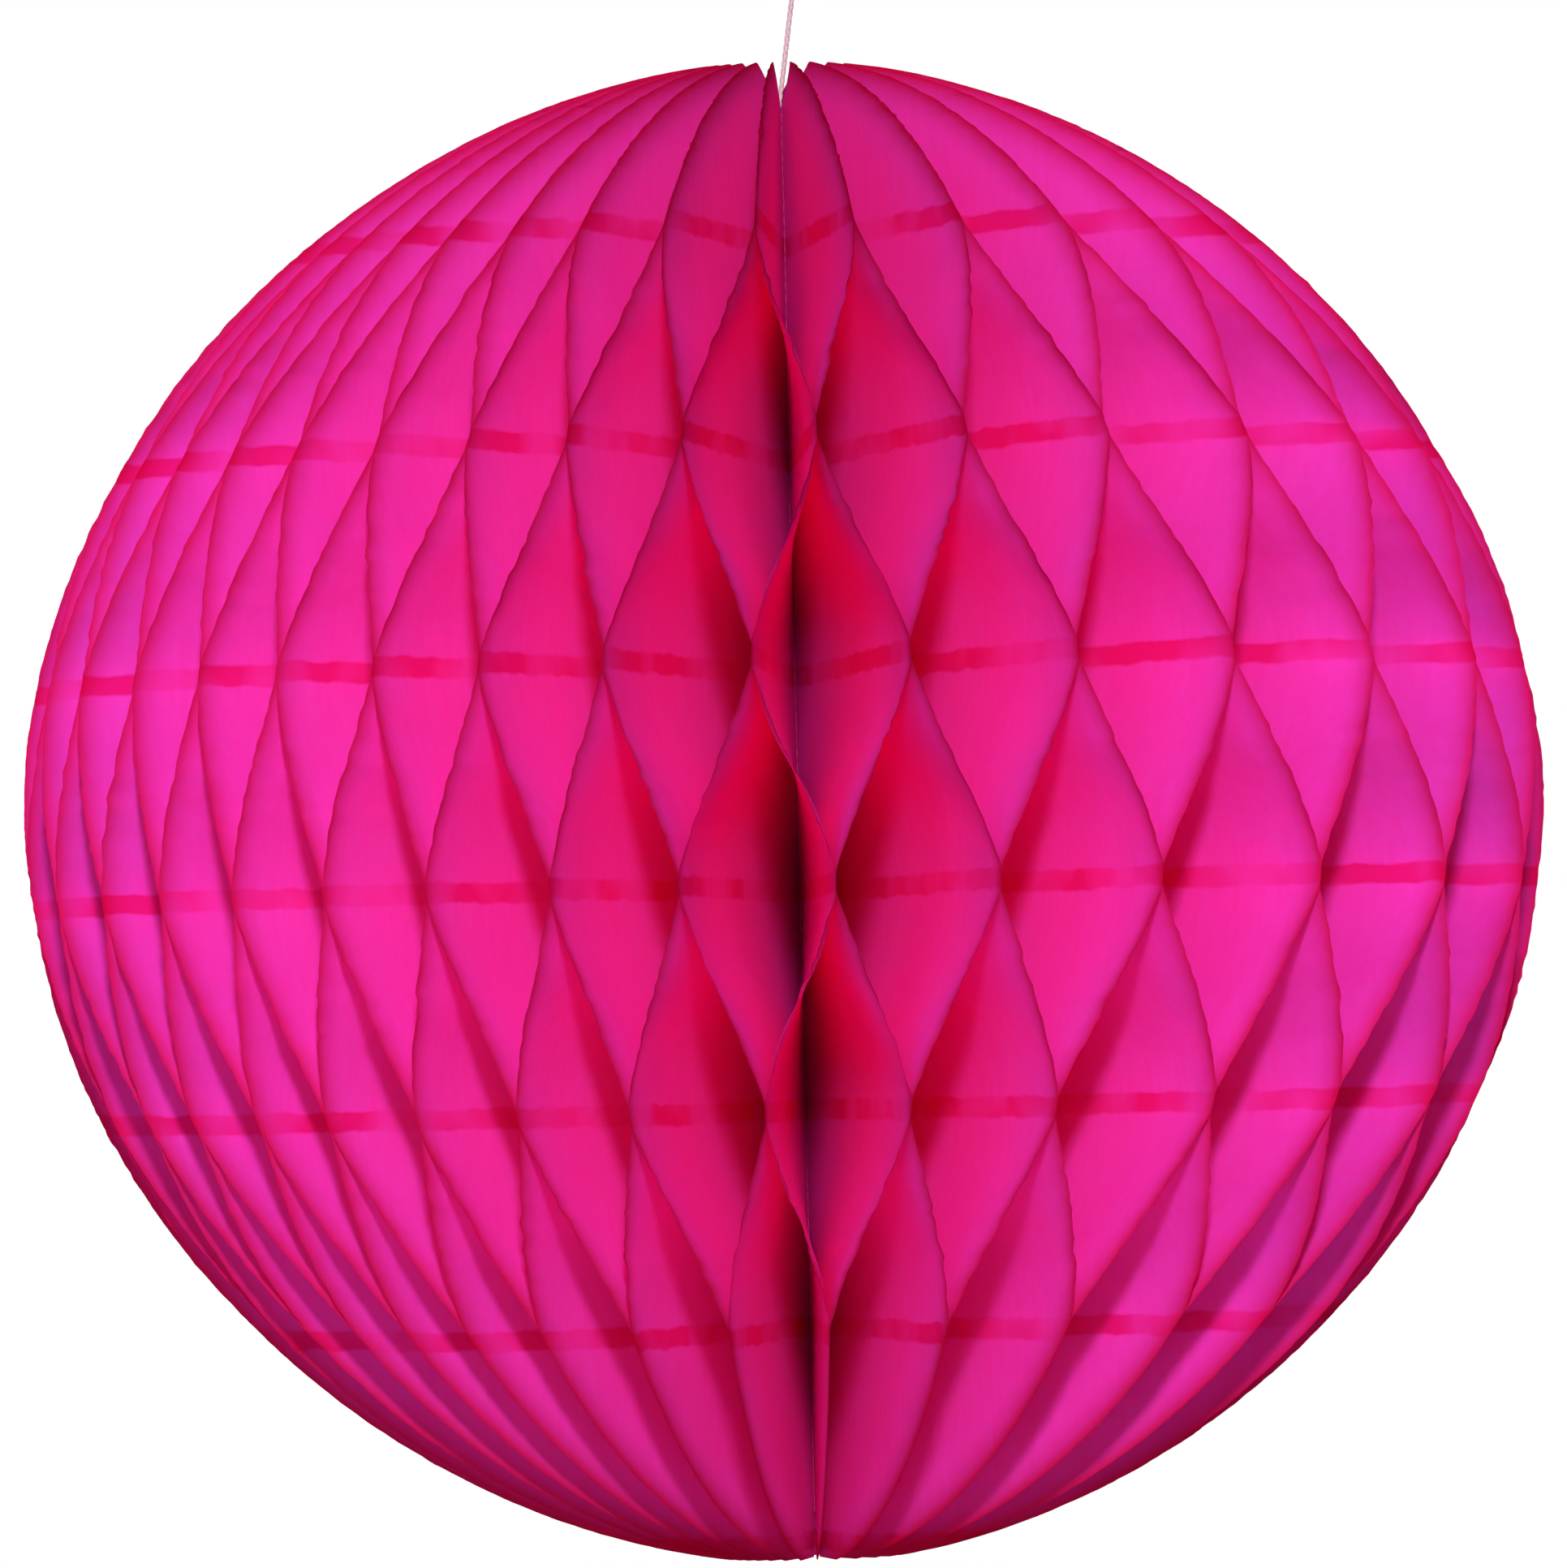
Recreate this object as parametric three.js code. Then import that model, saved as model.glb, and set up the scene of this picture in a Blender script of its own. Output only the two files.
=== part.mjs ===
import * as THREE from "three";

// A honeycomb tissue ball that hangs from a thread.
// Half-disc tissue leaves fan round a stitched spine, like the pages of a book opened full circle.
// Each leaf is glued to its two neighbours in turn along level lines, so the open fan makes diamond cells.
// Two end cards close the fan back to back at a seam, held together by a strip of tape.
// Millimetres, +Z up, the front faces -Y. Azimuth counts from the front towards +X.

// Outline of the opened ball, a little leaner at its shoulders than an ellipse (a power of 2)
const ballWidth = 203;
const outlineHeight = 200;
const outlinePower = 1.9;

// The outline sits this far to the left of the spine
const outlineLean = 1.6;

// Shallow cone where the leaves dip towards each end of the spine
const poleDimpleRadius = 12;
const poleDimpleDepth = 6;

// Tissue leaves, and the gap between pieces that touch
const leafCount = 53;
const leafThickness = 0.05;
const touchGap = 0.2;

// Glue lines: their spacing up the leaf, the height of one of them above the middle, and their width
const glueLinePitch = 28.6;
const glueLineHeight = 17.7;
const glueLineWidth = 3;

// How gently a leaf leaves a glue line: 0 is a sharp zigzag, 1 a full wave
const foldSoftness = 0.4;

// The seam's azimuth, and how unevenly the fan is opened: wide near the seam and bunched opposite it
const seamAzimuth = THREE.MathUtils.degToRad(148.9);
const fanBunching = 0.372;
const fanPhase = THREE.MathUtils.degToRad(9.5);

// End cards, cut a little smaller than the leaves, and the tape between them
const cardThickness = 0.4;
const cardInset = 1.5;
const tapeThickness = 0.2;
const tapeWidth = 12;
const tapeLength = 80;
const tapeInset = 8;

// Spine stitching, hanging thread and its knot
const spineDiameter = 2.6;
const threadDiameter = 0.7;
const knotRadius = 0.9;
const knotStrand = 0.6;

// Route of the thread, from the top of the spine to the knot
const threadRoute = [
  [0, 0, 0.2],
  [0.28, 0, 2.2],
  [0.64, 0, 4.7],
  [1.0, 0, 7.2],
  [1.35, 0, 9.7],
  [1.7, 0, 12.2],
  [2.06, 0, 14.7],
  [2.3, 0, 16.4],
];

// The knot's middle, from the top of the spine, and the loop's route, from the knot's middle
const knotPlace = [2.55, 0, 18.2];
const loopRoute = [
  [-1.17, 0, 1.3],
  [-1.75, 0, 3],
  [-2.6, 0, 5.5],
  [-3.2, 0, 8],
  [-3.3, 0, 10.5],
  [-2.7, 0, 12.8],
  [-1.5, 0, 14.4],
  [0, 0, 15],
  [1.5, 0, 14.4],
  [2.7, 0, 12.8],
  [3.3, 0, 10.5],
  [3.2, 0, 8],
  [2.6, 0, 5.5],
  [1.75, 0, 3],
  [1.17, 0, 1.3],
];

// Fineness of the shapes
const foldSteps = 3;
const poleSteps = 4;
const cardSteps = 24;
const roundSides = 12;
const threadSides = 8;
const threadSteps = 9;
const loopSteps = 22;
const knotSteps = 42;
const knotSides = 6;
const tipInset = 0.1;

// Heights and radii that follow from the sizes above
const halfWidth = ballWidth / 2;
const halfHeight = outlineHeight / 2;
const rimHeight = halfHeight * (1 - (poleDimpleRadius / halfWidth) ** outlinePower) ** (1 / outlinePower);
const spineHalf = rimHeight - poleDimpleDepth;
const leafInnerRadius = spineDiameter / 2 + touchGap;
const cardFace = tapeThickness / 2 + touchGap + cardThickness;
const leafOffCard = cardFace + touchGap + leafThickness / 2;
const lastCard = leafCount + 1;
const lineReach = spineHalf - glueLineWidth / 2;
const topLine = Math.floor((lineReach - glueLineHeight) / glueLinePitch);
const bottomLine = Math.ceil((-lineReach - glueLineHeight) / glueLinePitch);

// Cerise tissue, matching card, cream tape and pale pink thread
const tissueColor = 0xe0157f;
const cardColor = 0xcf1a78;
const tapeColor = 0xe9e4d6;
const threadColor = 0xd9b3bf;

function finish(color, roughness) {
  return new THREE.MeshStandardMaterial({ color, roughness, metalness: 0 });
}

const tissue = () => finish(tissueColor, 0.85);
const card = () => finish(cardColor, 0.7);
const tape = () => finish(tapeColor, 0.5);
const thread = () => finish(threadColor, 0.9);

// Radius of the outline at a height, before the lean
function outlineRadius(height) {
  return halfWidth * (1 - (Math.abs(height) / halfHeight) ** outlinePower) ** (1 / outlinePower);
}

// Radius of a leaf or card at a height, with the outline's lean away from +X
function edgeRadius(azimuth, height) {
  return outlineRadius(height) * (1 - (outlineLean / halfWidth) * Math.sin(azimuth));
}

// Radius of the dimple's cone at a height, nothing along the spine itself
function dimpleRadius(height) {
  return (poleDimpleRadius * Math.max(0, Math.abs(height) - spineHalf)) / poleDimpleDepth;
}

// Middle azimuth of a leaf at the outline; the two end cards are numbers 0 and lastCard
function fanAzimuth(number) {
  const turn = (2 * Math.PI * number) / lastCard;
  return seamAzimuth + turn + fanBunching * (Math.sin(turn + fanPhase) - Math.sin(fanPhase));
}

// Azimuth of a leaf's straight inner edge, where the fan is even and leaves room for the cards
function spineAzimuth(number) {
  const cardAngle = Math.asin(leafOffCard / leafInnerRadius);
  const share = (number - 1) / (leafCount - 1);
  return seamAzimuth + cardAngle + (2 * Math.PI - 2 * cardAngle) * share;
}

function lineHeight(line) {
  return glueLineHeight + line * glueLinePitch;
}

// Azimuth of a leaf where it touches its neighbour along a glue line
function contactAzimuth(number, line, radius) {
  const side = (number + line) % 2 === 0 ? 1 : -1;
  const neighbour = number + side;
  if (neighbour === 0) {
    return seamAzimuth + Math.asin(leafOffCard / radius);
  }
  if (neighbour === lastCard) {
    return seamAzimuth + 2 * Math.PI - Math.asin(leafOffCard / radius);
  }
  const middle = (fanAzimuth(number) + fanAzimuth(neighbour)) / 2;
  return middle - (side * (touchGap + leafThickness)) / 2 / radius;
}

// Azimuth of a leaf's outer edge at a height, swinging from one glue line to the next
function leafAzimuth(number, height, radius) {
  const lower = Math.floor((height - glueLineHeight) / glueLinePitch);
  const below = THREE.MathUtils.clamp(lower, bottomLine, topLine);
  const above = THREE.MathUtils.clamp(lower + 1, bottomLine, topLine);
  const start = lineHeight(below) + glueLineWidth / 2;
  const share = THREE.MathUtils.clamp((height - start) / (glueLinePitch - glueLineWidth), 0, 1);
  const eased = share - (foldSoftness * Math.sin(2 * Math.PI * share)) / (2 * Math.PI);
  const from = contactAzimuth(number, below, radius);
  const to = contactAzimuth(number, above, radius);
  return THREE.MathUtils.lerp(from, to, eased);
}

function polar(radius, azimuth, height) {
  return new THREE.Vector3(radius * Math.sin(azimuth), -radius * Math.cos(azimuth), height);
}

// Heights from the outermost glue line to the tip, closer together as the outline turns in
function poleHeights(from) {
  const angle = (height) => Math.asin((height / halfHeight) ** (outlinePower / 2));
  const start = angle(from);
  const end = angle(rimHeight - tipInset);
  const heights = [spineHalf];
  for (let step = 1; step <= poleSteps; step += 1) {
    const turn = THREE.MathUtils.lerp(start, end, step / poleSteps);
    heights.push(halfHeight * Math.sin(turn) ** (2 / outlinePower));
  }
  return heights;
}

// Every height at which a leaf gets a cross-section, from its lower tip to its upper tip
function leafHeights() {
  const heights = [];
  for (let line = bottomLine; line <= topLine; line += 1) {
    const start = lineHeight(line) + glueLineWidth / 2;
    heights.push(start - glueLineWidth, start);
    for (let step = 1; step < foldSteps && line < topLine; step += 1) {
      heights.push(start + ((glueLinePitch - glueLineWidth) * step) / foldSteps);
    }
  }
  const upper = poleHeights(lineHeight(topLine) + glueLineWidth / 2);
  const lower = poleHeights(glueLineWidth / 2 - lineHeight(bottomLine));
  heights.push(...upper, ...lower.map((height) => -height));
  return heights.sort((a, b) => a - b);
}

// The four corners of a leaf's thin cross-section at one height
function leafSection(number, height) {
  const radius = edgeRadius(fanAzimuth(number), height);
  const outer = polar(radius, leafAzimuth(number, height, radius), height);
  const spine = polar(leafInnerRadius, spineAzimuth(number), height);
  const cut = Math.max(dimpleRadius(height), leafInnerRadius);
  const inner = spine.clone().lerp(outer, (cut - leafInnerRadius) / (radius - leafInnerRadius));
  const along = outer.clone().sub(spine).normalize();
  const across = new THREE.Vector3(-along.y, along.x, 0).multiplyScalar(leafThickness / 2);
  const near = [inner, outer].map((point) => point.clone().sub(across));
  const far = [outer, inner].map((point) => point.clone().add(across));
  return [...near, ...far];
}

// A closed skin over a stack of four-cornered sections, from the lowest to the highest
// Both broad sides are split along the same slant, so the thin skin never crosses itself
function ruledSolid(sections) {
  const corners = 4;
  const farSide = 2;
  const faces = [0, 2, 1, 0, 3, 2];
  for (let row = 0; row + 1 < sections.length; row += 1) {
    for (let side = 0; side < corners; side += 1) {
      const next = (side + 1) % corners;
      const [a, b] = [row * corners + side, row * corners + next];
      const [c, d] = [a + corners, b + corners];
      faces.push(...(side === farSide ? [a, b, c, b, d, c] : [a, b, d, a, d, c]));
    }
  }
  const top = (sections.length - 1) * corners;
  faces.push(top, top + 1, top + 2, top, top + 2, top + 3);
  const geometry = new THREE.BufferGeometry().setFromPoints(sections.flat());
  geometry.setIndex(faces);
  geometry.computeVertexNormals();
  return geometry;
}

// Half-disc outline of an end card: out along the curved edge, back along the spine and the dimples
function cardShape() {
  const tip = rimHeight - cardInset;
  const points = [];
  for (let step = 0; step <= cardSteps; step += 1) {
    const height = tip * Math.sin(Math.PI * (step / cardSteps - 0.5));
    points.push(new THREE.Vector2(edgeRadius(seamAzimuth, height) - cardInset, height));
  }
  for (const height of [tip, spineHalf, -spineHalf, -tip]) {
    points.push(new THREE.Vector2(Math.max(dimpleRadius(height), leafInnerRadius), height));
  }
  return new THREE.Shape(points);
}

// A round cord along a smooth route
function cordGeometry(points, diameter, steps) {
  const section = new THREE.Shape();
  section.absarc(0, 0, diameter / 2, 0, 2 * Math.PI);
  const route = new THREE.CatmullRomCurve3(points.map((point) => new THREE.Vector3(...point)));
  return new THREE.ExtrudeGeometry(section, { steps, curveSegments: threadSides, extrudePath: route });
}

function named(name, geometry, material) {
  const mesh = new THREE.Mesh(geometry, material);
  mesh.name = name;
  return mesh;
}

// The tissue fan
function makeLeaves() {
  const leaves = new THREE.Group();
  const heights = leafHeights();
  for (let number = 1; number <= leafCount; number += 1) {
    const sections = heights.map((height) => leafSection(number, height));
    const name = `tissue_leaf_${String(number).padStart(2, "0")}`;
    leaves.add(named(name, ruledSolid(sections), tissue()));
  }
  return leaves;
}

// The two end cards and the tape between them, with X running out along the seam
function makeSeam() {
  const seam = new THREE.Group();
  seam.rotation.z = seamAzimuth - Math.PI / 2;
  const sheet = new THREE.ExtrudeGeometry(cardShape(), { depth: cardThickness, bevelEnabled: false });
  const first = named("end_card_first", sheet, card());
  first.rotation.x = Math.PI / 2;
  first.position.y = cardFace;
  const last = named("end_card_last", sheet, card());
  last.rotation.x = Math.PI / 2;
  last.position.y = cardThickness - cardFace;
  const strip = named("closing_tape", new THREE.BoxGeometry(tapeWidth, tapeThickness, tapeLength), tape());
  const cardEdge = edgeRadius(seamAzimuth, tapeLength / 2) - cardInset;
  strip.position.x = cardEdge - tapeInset - tapeWidth / 2;
  seam.add(first, last, strip);
  return seam;
}

function makeSpine() {
  const rod = new THREE.CylinderGeometry(spineDiameter / 2, spineDiameter / 2, 2 * spineHalf, roundSides);
  const spine = named("spine_stitching", rod, thread());
  spine.rotation.x = Math.PI / 2;
  return spine;
}

// The thread tied to the top of the spine, its knot and the loop above the knot
function makeHanger() {
  const hanger = new THREE.Group();
  hanger.position.z = spineHalf;
  const line = named("hanging_thread", cordGeometry(threadRoute, threadDiameter, threadSteps), thread());
  const trefoil = new THREE.TorusKnotGeometry(knotRadius, knotStrand / 2, knotSteps, knotSides, 2, 3);
  const knot = named("thread_knot", trefoil, thread());
  knot.position.set(...knotPlace);
  knot.rotation.set(Math.PI / 2, 0, -Math.PI / 2);
  const loop = named("hanging_loop", cordGeometry(loopRoute, threadDiameter, loopSteps), thread());
  loop.position.set(...knotPlace);
  hanger.add(line, knot, loop);
  return hanger;
}

// The origin is the point under the top of the loop, where a hook carries the ball
const loopTop = Math.max(...loopRoute.map((point) => point[2]));
const hook = new THREE.Vector3(...knotPlace);
hook.z += spineHalf + loopTop - threadDiameter / 2;
const ball = new THREE.Group();
ball.add(makeLeaves(), makeSeam(), makeSpine(), makeHanger());
ball.position.copy(hook).negate();

export default ball;
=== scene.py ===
"""Looks of a honeycomb tissue ball that hangs from a thread.

Half-disc tissue leaves fan full circle round a stitched spine. Neighbours are glued along level lines that
alternate from one pair to the next, so the fan opens into diamond cells. Lengths are in metres, +Z is up and
the front of the ball faces -Y. Azimuth counts from the front towards +X.
"""
import logging
import math
from dataclasses import dataclass
from enum import Enum
from typing import Union

import bpy
from mathutils import Matrix, Vector


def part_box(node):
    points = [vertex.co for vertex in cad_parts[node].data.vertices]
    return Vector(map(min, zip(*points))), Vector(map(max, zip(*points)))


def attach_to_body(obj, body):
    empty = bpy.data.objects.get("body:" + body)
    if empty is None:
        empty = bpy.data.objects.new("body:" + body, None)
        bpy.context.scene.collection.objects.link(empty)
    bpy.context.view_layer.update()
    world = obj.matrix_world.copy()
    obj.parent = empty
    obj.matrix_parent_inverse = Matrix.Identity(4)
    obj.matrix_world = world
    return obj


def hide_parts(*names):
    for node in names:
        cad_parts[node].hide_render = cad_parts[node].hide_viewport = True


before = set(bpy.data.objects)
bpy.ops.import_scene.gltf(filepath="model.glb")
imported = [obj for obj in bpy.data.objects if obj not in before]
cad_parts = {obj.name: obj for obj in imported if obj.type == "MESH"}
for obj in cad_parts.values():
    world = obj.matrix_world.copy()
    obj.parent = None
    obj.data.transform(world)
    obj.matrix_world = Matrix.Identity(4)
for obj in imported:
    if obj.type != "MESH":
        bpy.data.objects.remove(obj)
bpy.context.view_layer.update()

MM = 0.001
TURN = 2 * math.pi
ROOT = "root"
NOISE_MIDDLE = 0.5
Colour = tuple[float, float, float, float]
log = logging.getLogger("honeycomb_ball")


class Slot(Enum):
    """Names of the record's material slots."""

    TISSUE = "tissue"
    THREAD = "thread"


def srgb(red: int, green: int, blue: int) -> Colour:
    """Turns a colour as a screen shows it into the linear colour that a shader takes.

    Args:
        red: Red from 0 to 255.
        green: Green from 0 to 255.
        blue: Blue from 0 to 255.

    Returns:
        The linear colour, with full alpha.
    """
    linear = []
    for value in (red, green, blue):
        share = value / 255
        linear.append(share / 12.92 if share <= 0.04045 else ((share + 0.055) / 1.055) ** 2.4)
    return (linear[0], linear[1], linear[2], 1.0)


class Field:
    """A value that a node puts out. Its operators add math nodes to the same tree."""

    def __init__(self, graph: "Graph", socket: bpy.types.NodeSocket) -> None:
        """Keeps the tree and the output socket."""
        self.graph = graph
        self.socket = socket

    def __add__(self, other: "Operand") -> "Field":
        """Sum."""
        return self.graph.math("ADD", self, other)

    def __sub__(self, other: "Operand") -> "Field":
        """Difference."""
        return self.graph.math("SUBTRACT", self, other)

    def __rsub__(self, other: "Operand") -> "Field":
        """Difference from a plain number."""
        return self.graph.math("SUBTRACT", other, self)

    def __mul__(self, other: "Operand") -> "Field":
        """Product."""
        return self.graph.math("MULTIPLY", self, other)

    def __truediv__(self, other: "Operand") -> "Field":
        """Quotient."""
        return self.graph.math("DIVIDE", self, other)

    def __rtruediv__(self, other: "Operand") -> "Field":
        """Quotient of a plain number."""
        return self.graph.math("DIVIDE", other, self)

    def __pow__(self, other: "Operand") -> "Field":
        """Power."""
        return self.graph.math("POWER", self, other)

    def sin(self) -> "Field":
        """Sine of an angle in radians."""
        return self.graph.math("SINE", self)

    def cos(self) -> "Field":
        """Cosine of an angle in radians."""
        return self.graph.math("COSINE", self)

    def abs(self) -> "Field":
        """Size without the sign."""
        return self.graph.math("ABSOLUTE", self)

    def sign(self) -> "Field":
        """Minus one, nought or one."""
        return self.graph.math("SIGN", self)

    def floor(self) -> "Field":
        """Next whole number down."""
        return self.graph.math("FLOOR", self)

    def round(self) -> "Field":
        """Nearest whole number."""
        return self.graph.math("ROUND", self)

    def modulo(self, other: "Operand") -> "Field":
        """What is left after dividing, never below nought."""
        return self.graph.math("FLOORED_MODULO", self, other)

    def clamp(self, low: "Operand", high: "Operand") -> "Field":
        """Value held between two limits."""
        return self.graph.math("MINIMUM", self.graph.math("MAXIMUM", self, low), high)


Operand = Union[Field, float]


class Graph:
    """A node tree that is being built."""

    def __init__(self, tree: bpy.types.NodeTree) -> None:
        """Keeps the tree."""
        self.tree = tree

    def node(self, kind: str, **settings: object) -> bpy.types.Node:
        """Adds a node.

        Args:
            kind: The node's type name.
            **settings: Properties of the node.

        Returns:
            The new node.
        """
        made = self.tree.nodes.new(kind)
        for name, value in settings.items():
            setattr(made, name, value)
        return made

    def feed(self, socket: bpy.types.NodeSocket, value: object) -> None:
        """Links a value to an input, or sets the input's own value.

        Args:
            socket: The input.
            value: A field, an output socket or a plain value.
        """
        if isinstance(value, Field):
            self.tree.links.new(value.socket, socket)
        elif isinstance(value, bpy.types.NodeSocket):
            self.tree.links.new(value, socket)
        else:
            socket.default_value = value

    def math(self, operation: str, *values: Operand) -> Field:
        """Adds a math node.

        Args:
            operation: The node's operation.
            *values: Its inputs in order.

        Returns:
            The result.
        """
        made = self.node("ShaderNodeMath", operation=operation)
        for socket, value in zip(made.inputs, values):
            self.feed(socket, value)
        return Field(self, made.outputs[0])

    def call(self, kind: str, inputs: dict[str, object], output: str, **settings: object) -> Field:
        """Adds a node, feeds its inputs and picks one output.

        Args:
            kind: The node's type name.
            inputs: Values by input name. Inputs that the node's settings hide are passed over.
            output: The name of the output.
            **settings: Properties of the node.

        Returns:
            The output as a field.
        """
        made = self.node(kind, **settings)
        for name, value in inputs.items():
            self.feed(next(s for s in made.inputs if s.name == name and s.enabled), value)
        return Field(self, next(s for s in made.outputs if s.name == output and s.enabled))

    def noise(self, vector: Field, scale: Operand, detail: float = 2.0) -> Field:
        """Soft random values from about 0 to 1.

        Args:
            vector: Where the noise is read.
            scale: Lumps to the metre.
            detail: Finer layers on top of the first.

        Returns:
            The noise.
        """
        return self.call("ShaderNodeTexNoise", {"Vector": vector, "Scale": scale, "Detail": detail}, "Fac")

    def mix_colour(self, first: object, second: object, share: Operand) -> Field:
        """Blends two colours.

        Args:
            first: The colour at a share of 0.
            second: The colour at a share of 1.
            share: How much of the second colour shows.

        Returns:
            The blend.
        """
        inputs = {"Factor": share, "A": first, "B": second}
        return self.call("ShaderNodeMix", inputs, "Result", data_type="RGBA")


class ShapeTree(Graph):
    """A geometry node tree with named inputs."""

    def __init__(self, name: str, reads_mesh: bool) -> None:
        """Starts the tree.

        Args:
            name: The tree's name.
            reads_mesh: Whether the tree works on the object's own mesh.
        """
        super().__init__(bpy.data.node_groups.new(name, "GeometryNodeTree"))
        self.entry = self.node("NodeGroupInput")
        self.way_out = self.node("NodeGroupOutput")
        self.tree.interface.new_socket("Result", in_out="OUTPUT", socket_type="NodeSocketGeometry")
        if reads_mesh:
            self.tree.interface.new_socket("Base", in_out="INPUT", socket_type="NodeSocketGeometry")

    def value(self, name: str, kind: str = "NodeSocketFloat") -> Field:
        """Adds a named input.

        Args:
            name: The input's name.
            kind: The type of its socket.

        Returns:
            The input's value inside the tree.
        """
        self.tree.interface.new_socket(name, in_out="INPUT", socket_type=kind)
        return Field(self, self.entry.outputs[name])

    def vector(self, operation: str, *values: object) -> Field:
        """Adds a vector math node.

        Args:
            operation: The node's operation.
            *values: Its inputs in order.

        Returns:
            The result.
        """
        made = self.node("ShaderNodeVectorMath", operation=operation)
        for socket, value in zip(made.inputs, values):
            self.feed(socket, value)
        return Field(self, made.outputs["Vector"])

    def scaled(self, vector: Field, size: Operand) -> Field:
        """Vector times a number."""
        inputs = {"Vector": vector, "Scale": size}
        return self.call("ShaderNodeVectorMath", inputs, "Vector", operation="SCALE")

    def polar(self, radius: Operand, azimuth: Operand, height: Operand) -> Field:
        """Point at a radius, azimuth and height.

        Args:
            radius: Distance from the spine.
            azimuth: Angle from the front towards +X.
            height: Height above the middle.

        Returns:
            The point as a vector.
        """
        inputs = {"X": azimuth.sin() * radius, "Y": azimuth.cos() * radius * -1.0, "Z": height}
        return self.call("ShaderNodeCombineXYZ", inputs, "Vector")

    def end(self, shape: Field) -> None:
        """Closes the tree with a plain mesh that wears the material input.

        Args:
            shape: The finished geometry.
        """
        wearing = self.value("Material", "NodeSocketMaterial")
        smooth = self.call("GeometryNodeSetShadeSmooth", {"Geometry": shape}, "Geometry")
        plain = self.call("GeometryNodeRealizeInstances", {"Geometry": smooth}, "Geometry")
        dressed = self.call("GeometryNodeSetMaterial", {"Geometry": plain, "Material": wearing}, "Geometry")
        self.feed(self.way_out.inputs["Result"], dressed)

    def piece(self, name: str, base: bpy.types.Mesh, values: dict[str, object]) -> bpy.types.Object:
        """Makes an object that this tree shapes.

        Args:
            name: The object's name.
            base: The mesh that the tree starts from.
            values: Values by input name.

        Returns:
            The object, with its modifier still live.
        """
        made = bpy.data.objects.new(name, base)
        bpy.context.scene.collection.objects.link(made)
        modifier = made.modifiers.new(self.tree.name, "NODES")
        modifier.node_group = self.tree
        sockets = [item for item in self.tree.interface.items_tree if item.in_out == "INPUT"]
        identifiers = {item.name: item.identifier for item in sockets}
        for label, value in values.items():
            modifier[identifiers[label]] = value
        return made


def settle(pieces: list[bpy.types.Object], sharp_angle: float) -> None:
    """Turns each piece's modifiers into its own plain mesh.

    Args:
        pieces: The objects.
        sharp_angle: Edges that turn more than this stay crisp.
    """
    graph = bpy.context.evaluated_depsgraph_get()
    meshes = []
    for piece in pieces:
        meshes.append(bpy.data.meshes.new_from_object(piece.evaluated_get(graph), depsgraph=graph))
    for piece, mesh in zip(pieces, meshes):
        piece.modifiers.clear()
        piece.data = mesh
        mesh.name = piece.name
        mesh.set_sharp_from_angle(angle=sharp_angle)


def attach(piece: bpy.types.Object, slot: Slot, *nodes: str) -> None:
    """Lets a piece ride on the ball and stand for its CAD nodes.

    Args:
        piece: The finished piece.
        slot: The record's material slot. Not used.
        *nodes: CAD nodes that the piece stands for.
    """
    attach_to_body(piece, ROOT)
    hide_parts(*nodes)
    log.info("%s: %d faces", piece.name, len(piece.data.polygons))


class FibreGroup:
    """The shader node group that gives paper, card, tape and thread their clouds and fibres."""

    DRAWN_OUT = (1.0, 1.0, 0.2)

    def __init__(self) -> None:
        """Builds the group once."""
        self.tree = bpy.data.node_groups.new("Fibre", "ShaderNodeTree")
        graph = Graph(self.tree)
        sockets = self.tree.interface
        sockets.new_socket("Coordinates", in_out="INPUT", socket_type="NodeSocketVector")
        for name in ("Cloud Scale", "Fibre Scale"):
            sockets.new_socket(name, in_out="INPUT", socket_type="NodeSocketFloat")
        for name in ("Cloud", "Fibre"):
            sockets.new_socket(name, in_out="OUTPUT", socket_type="NodeSocketFloat")
        entry = graph.node("NodeGroupInput")
        way_out = graph.node("NodeGroupOutput")
        place = Field(graph, entry.outputs["Coordinates"])
        cloud = graph.noise(place, Field(graph, entry.outputs["Cloud Scale"]), detail=1.0)
        drawn = graph.call("ShaderNodeMapping", {"Vector": place, "Scale": self.DRAWN_OUT}, "Vector")
        fibre = graph.noise(drawn, Field(graph, entry.outputs["Fibre Scale"]), detail=2.0)
        graph.feed(way_out.inputs["Cloud"], cloud)
        graph.feed(way_out.inputs["Fibre"], fibre)

    def place(self, graph: Graph, cloud_scale: float, fibre_scale: float) -> tuple[Field, Field]:
        """Puts the group into a material.

        Args:
            graph: The material's tree.
            cloud_scale: Clouds to the metre.
            fibre_scale: Fibres to the metre.

        Returns:
            The cloud and the fibre, each from about 0 to 1.
        """
        made = graph.node("ShaderNodeGroup", node_tree=self.tree)
        coordinates = graph.node("ShaderNodeTexCoord")
        graph.feed(made.inputs["Coordinates"], coordinates.outputs["Object"])
        graph.feed(made.inputs["Cloud Scale"], cloud_scale)
        graph.feed(made.inputs["Fibre Scale"], fibre_scale)
        return Field(graph, made.outputs["Cloud"]), Field(graph, made.outputs["Fibre"])


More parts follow.
